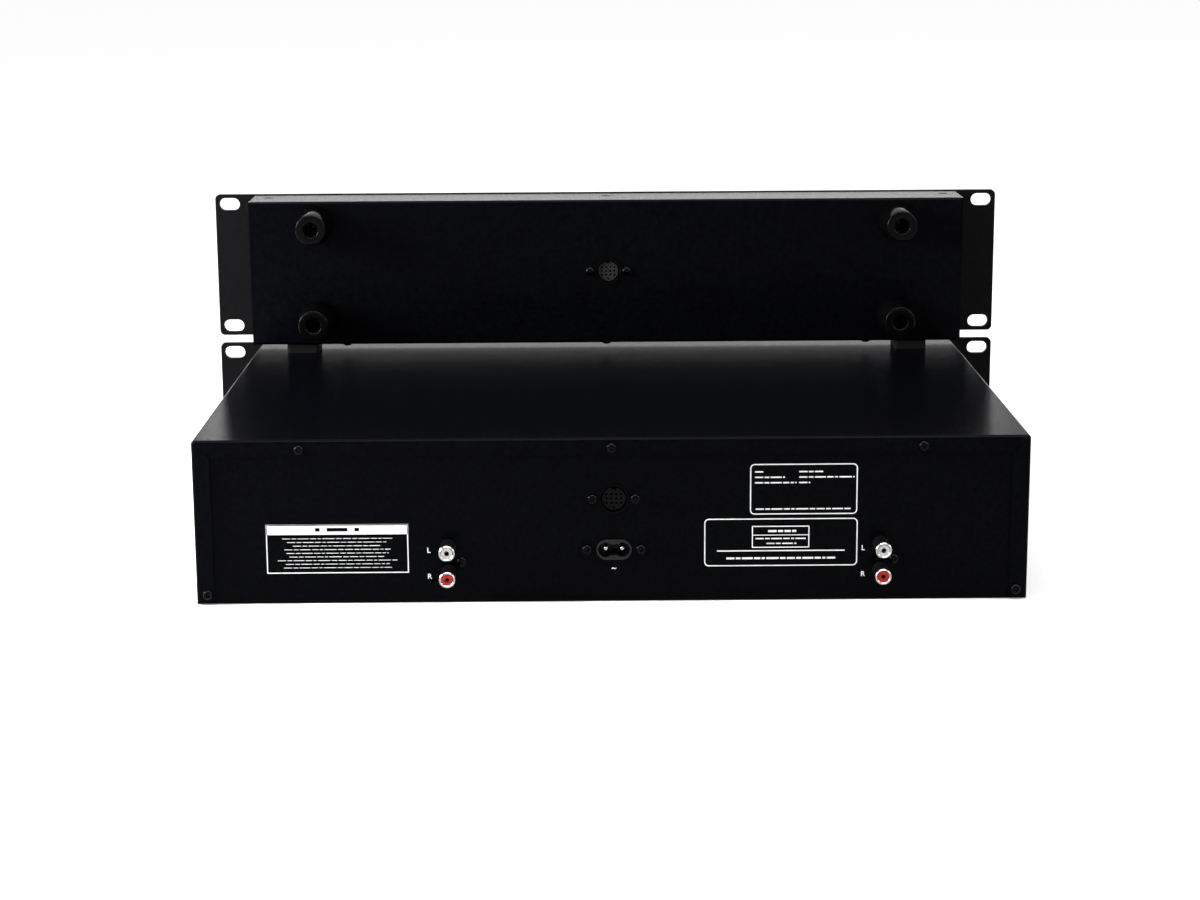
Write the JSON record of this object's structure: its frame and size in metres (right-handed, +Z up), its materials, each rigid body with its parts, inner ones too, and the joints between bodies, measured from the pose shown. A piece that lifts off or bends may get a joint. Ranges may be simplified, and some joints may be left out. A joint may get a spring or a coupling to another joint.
{
  "type": "dual cd player",
  "caption": "Rack-mounted twin disc player: deep main unit with tray-loading disc drives and a shallow control unit with jog wheels and pitch faders stacked on it",
  "frame": {"origin": "centre of the main unit's underside, halfway between the rack panels' back and the case's rear", "axes": "X to the right seen from the front, along the rack panels; Y towards the rear with the sockets; Z up; the fronts face -Y"},
  "size_m": [0.4826, 0.3057, 0.1812],
  "materials": {
    "case_steel": "fine-textured satin black powder coat on folded steel sheet",
    "panel_steel": "satin black powder coat on steel plate",
    "plated_screws": "zinc-plated steel screws",
    "nickel_plate": "nickel-plated brass barrels and pins",
    "socket_black": "black moulded socket plastic",
    "socket_grey": "grey moulded socket insert",
    "sleeve_white": "white insulating sleeve",
    "sleeve_red": "red insulating sleeve",
    "circuit_board": "green solder mask on glass-fibre board with black parts",
    "core_steel": "varnished transformer laminations and coil",
    "frame_plastic": "black moulded mechanism plastic",
    "tray_plastic": "satin black moulded tray",
    "acetal": "natural white acetal",
    "bright_steel": "pressed and turned bright steel",
    "turned_aluminium": "turned aluminium",
    "key_grey": "grey moulded keys",
    "key_black": "black moulded knobs",
    "button_black": "black moulded push buttons",
    "jog_plastic": "satin black jog wheel",
    "ring_plastic": "silver-grey shuttle ring",
    "window_smoke": "smoked clear acrylic",
    "foot_plastic": "glossy black moulded feet",
    "pad_rubber": "black rubber"
  },
  "bodies": {
    "main_unit": {"main_chassis": "case_steel", "main_top_cover": "case_steel", "main_front_panel": "panel_steel", "main_unit_screws": "plated_screws", "link_socket_main": "socket_grey", "mains_inlet": "socket_black", "mains_pins": "nickel_plate", "phono_blocks": "socket_black", "phono_shells": "nickel_plate", "phono_inserts_left": "sleeve_white", "phono_inserts_right": "sleeve_red", "logic_board": "circuit_board", "power_board": "circuit_board", "power_transformer": "core_steel", "left_loader_frame": "frame_plastic", "right_loader_frame": "frame_plastic"},
    "power_button": {"power_button": "button_black"},
    "control_unit": {"control_case": "case_steel", "control_frame": "case_steel", "control_front_panel": "panel_steel", "control_unit_screws": "plated_screws", "case_feet": "foot_plastic", "stacking_pads": "pad_rubber", "link_socket_control": "socket_grey", "display_windows": "window_smoke", "display_modules": "socket_black", "fader_bodies": "socket_black", "control_board": "circuit_board"},
    "left_disc_tray": {"left_disc_tray": "tray_plastic"},
    "left_loading_gear": {"left_loading_gear": "acetal"},
    "left_traverse": {"left_traverse": "bright_steel"},
    "left_spindle": {"left_spindle": "turned_aluminium"},
    "left_laser_sled": {"left_laser_sled": "frame_plastic"},
    "left_clamp_puck": {"left_clamp_puck": "acetal"},
    "left_open_button": {"left_open_button": "button_black"},
    "right_disc_tray": {"right_disc_tray": "tray_plastic"},
    "right_loading_gear": {"right_loading_gear": "acetal"},
    "right_traverse": {"right_traverse": "bright_steel"},
    "right_spindle": {"right_spindle": "turned_aluminium"},
    "right_laser_sled": {"right_laser_sled": "frame_plastic"},
    "right_clamp_puck": {"right_clamp_puck": "acetal"},
    "right_open_button": {"right_open_button": "button_black"},
    "left_jog_wheel": {"left_jog_wheel": "jog_plastic"},
    "left_shuttle_ring": {"left_shuttle_ring": "ring_plastic"},
    "left_pitch_fader_knob": {"left_pitch_fader_knob": "key_black"},
    "left_cue_button": {"left_cue_button": "key_grey"},
    "left_play_button": {"left_play_button": "key_grey"},
    "left_skip_back_button": {"left_skip_back_button": "key_grey"},
    "left_skip_forward_button": {"left_skip_forward_button": "key_grey"},
    "left_loop_in_button": {"left_loop_in_button": "key_grey"},
    "left_loop_out_button": {"left_loop_out_button": "key_grey"},
    "right_jog_wheel": {"right_jog_wheel": "jog_plastic"},
    "right_shuttle_ring": {"right_shuttle_ring": "ring_plastic"},
    "right_pitch_fader_knob": {"right_pitch_fader_knob": "key_black"},
    "right_cue_button": {"right_cue_button": "key_grey"},
    "right_play_button": {"right_play_button": "key_grey"},
    "right_skip_back_button": {"right_skip_back_button": "key_grey"},
    "right_skip_forward_button": {"right_skip_forward_button": "key_grey"},
    "right_loop_in_button": {"right_loop_in_button": "key_grey"},
    "right_loop_out_button": {"right_loop_out_button": "key_grey"}
  },
  "joints": [
    {"name": "control_unit_lift", "type": "slide", "parent": "main_unit", "child": "control_unit", "axis": [0, 0, 1], "range_m": [0, 0.1]},
    {"name": "power_press", "type": "slide", "parent": "main_unit", "child": "power_button", "axis": [0, 1, 0], "range_m": [0, 0.003], "stiffness_N_per_m": 1500},
    {"name": "left_tray_slide", "type": "slide", "parent": "main_unit", "child": "left_disc_tray", "axis": [0, -1, 0], "range_m": [0, 0.14]},
    {"name": "left_gear_turn", "type": "hinge", "parent": "main_unit", "child": "left_loading_gear", "pos_m": [-0.157, -0.1175, 0.046], "axis": [0, 0, 1], "range_deg": [0, 680]},
    {"name": "left_traverse_tilt", "type": "hinge", "parent": "main_unit", "child": "left_traverse", "pos_m": [-0.112, 0.0225, 0.04525], "axis": [1, 0, 0], "range_deg": [0, 6]},
    {"name": "left_spindle_turn", "type": "hinge", "parent": "left_traverse", "child": "left_spindle", "pos_m": [-0.112, -0.0615, 0.054], "axis": [0, 0, 1], "continuous": true},
    {"name": "left_sled_slide", "type": "slide", "parent": "left_traverse", "child": "left_laser_sled", "axis": [0, 1, 0], "range_m": [0, 0.036]},
    {"name": "left_puck_turn", "type": "hinge", "parent": "main_unit", "child": "left_clamp_puck", "pos_m": [-0.112, -0.0615, 0.066], "axis": [0, 0, 1], "continuous": true},
    {"name": "left_open_press", "type": "slide", "parent": "main_unit", "child": "left_open_button", "axis": [0, 1, 0], "range_m": [0, 0.0015], "stiffness_N_per_m": 1500},
    {"name": "right_tray_slide", "type": "slide", "parent": "main_unit", "child": "right_disc_tray", "axis": [0, -1, 0], "range_m": [0, 0.14]},
    {"name": "right_gear_turn", "type": "hinge", "parent": "main_unit", "child": "right_loading_gear", "pos_m": [0.067, -0.1175, 0.046], "axis": [0, 0, 1], "range_deg": [0, 680]},
    {"name": "right_traverse_tilt", "type": "hinge", "parent": "main_unit", "child": "right_traverse", "pos_m": [0.112, 0.0225, 0.04525], "axis": [1, 0, 0], "range_deg": [0, 6]},
    {"name": "right_spindle_turn", "type": "hinge", "parent": "right_traverse", "child": "right_spindle", "pos_m": [0.112, -0.0615, 0.054], "axis": [0, 0, 1], "continuous": true},
    {"name": "right_sled_slide", "type": "slide", "parent": "right_traverse", "child": "right_laser_sled", "axis": [0, 1, 0], "range_m": [0, 0.036]},
    {"name": "right_puck_turn", "type": "hinge", "parent": "main_unit", "child": "right_clamp_puck", "pos_m": [0.112, -0.0615, 0.066], "axis": [0, 0, 1], "continuous": true},
    {"name": "right_open_press", "type": "slide", "parent": "main_unit", "child": "right_open_button", "axis": [0, 1, 0], "range_m": [0, 0.0015], "stiffness_N_per_m": 1500},
    {"name": "left_jog_turn", "type": "hinge", "parent": "control_unit", "child": "left_jog_wheel", "pos_m": [-0.082, -0.1475, 0.13715], "axis": [0, -1, 0], "continuous": true},
    {"name": "left_shuttle_turn", "type": "hinge", "parent": "control_unit", "child": "left_shuttle_ring", "pos_m": [-0.082, -0.1435, 0.13715], "axis": [0, -1, 0], "range_deg": [-45, 45], "stiffness_Nm_per_rad": 0.05},
    {"name": "left_pitch_slide", "type": "slide", "parent": "control_unit", "child": "left_pitch_fader_knob", "axis": [0, 0, 1], "range_m": [-0.0225, 0.0225]},
    {"name": "left_cue_press", "type": "slide", "parent": "control_unit", "child": "left_cue_button", "axis": [0, 1, 0], "range_m": [0, 0.0012], "stiffness_N_per_m": 1500},
    {"name": "left_play_press", "type": "slide", "parent": "control_unit", "child": "left_play_button", "axis": [0, 1, 0], "range_m": [0, 0.0012], "stiffness_N_per_m": 1500},
    {"name": "left_skip_back_press", "type": "slide", "parent": "control_unit", "child": "left_skip_back_button", "axis": [0, 1, 0], "range_m": [0, 0.0012], "stiffness_N_per_m": 1500},
    {"name": "left_skip_forward_press", "type": "slide", "parent": "control_unit", "child": "left_skip_forward_button", "axis": [0, 1, 0], "range_m": [0, 0.0012], "stiffness_N_per_m": 1500},
    {"name": "left_loop_in_press", "type": "slide", "parent": "control_unit", "child": "left_loop_in_button", "axis": [0, 1, 0], "range_m": [0, 0.0012], "stiffness_N_per_m": 1500},
    {"name": "left_loop_out_press", "type": "slide", "parent": "control_unit", "child": "left_loop_out_button", "axis": [0, 1, 0], "range_m": [0, 0.0012], "stiffness_N_per_m": 1500},
    {"name": "right_jog_turn", "type": "hinge", "parent": "control_unit", "child": "right_jog_wheel", "pos_m": [0.142, -0.1475, 0.13715], "axis": [0, -1, 0], "continuous": true},
    {"name": "right_shuttle_turn", "type": "hinge", "parent": "control_unit", "child": "right_shuttle_ring", "pos_m": [0.142, -0.1435, 0.13715], "axis": [0, -1, 0], "range_deg": [-45, 45], "stiffness_Nm_per_rad": 0.05},
    {"name": "right_pitch_slide", "type": "slide", "parent": "control_unit", "child": "right_pitch_fader_knob", "axis": [0, 0, 1], "range_m": [-0.0225, 0.0225]},
    {"name": "right_cue_press", "type": "slide", "parent": "control_unit", "child": "right_cue_button", "axis": [0, 1, 0], "range_m": [0, 0.0012], "stiffness_N_per_m": 1500},
    {"name": "right_play_press", "type": "slide", "parent": "control_unit", "child": "right_play_button", "axis": [0, 1, 0], "range_m": [0, 0.0012], "stiffness_N_per_m": 1500},
    {"name": "right_skip_back_press", "type": "slide", "parent": "control_unit", "child": "right_skip_back_button", "axis": [0, 1, 0], "range_m": [0, 0.0012], "stiffness_N_per_m": 1500},
    {"name": "right_skip_forward_press", "type": "slide", "parent": "control_unit", "child": "right_skip_forward_button", "axis": [0, 1, 0], "range_m": [0, 0.0012], "stiffness_N_per_m": 1500},
    {"name": "right_loop_in_press", "type": "slide", "parent": "control_unit", "child": "right_loop_in_button", "axis": [0, 1, 0], "range_m": [0, 0.0012], "stiffness_N_per_m": 1500},
    {"name": "right_loop_out_press", "type": "slide", "parent": "control_unit", "child": "right_loop_out_button", "axis": [0, 1, 0], "range_m": [0, 0.0012], "stiffness_N_per_m": 1500}
  ],
  "couplings": [
    {"joint": "left_gear_turn", "follows": "left_tray_slide", "rad_per_m": 83.333},
    {"joint": "left_puck_turn", "follows": "left_spindle_turn", "ratio": 1},
    {"joint": "right_gear_turn", "follows": "right_tray_slide", "rad_per_m": 83.333},
    {"joint": "right_puck_turn", "follows": "right_spindle_turn", "ratio": 1}
  ]
}
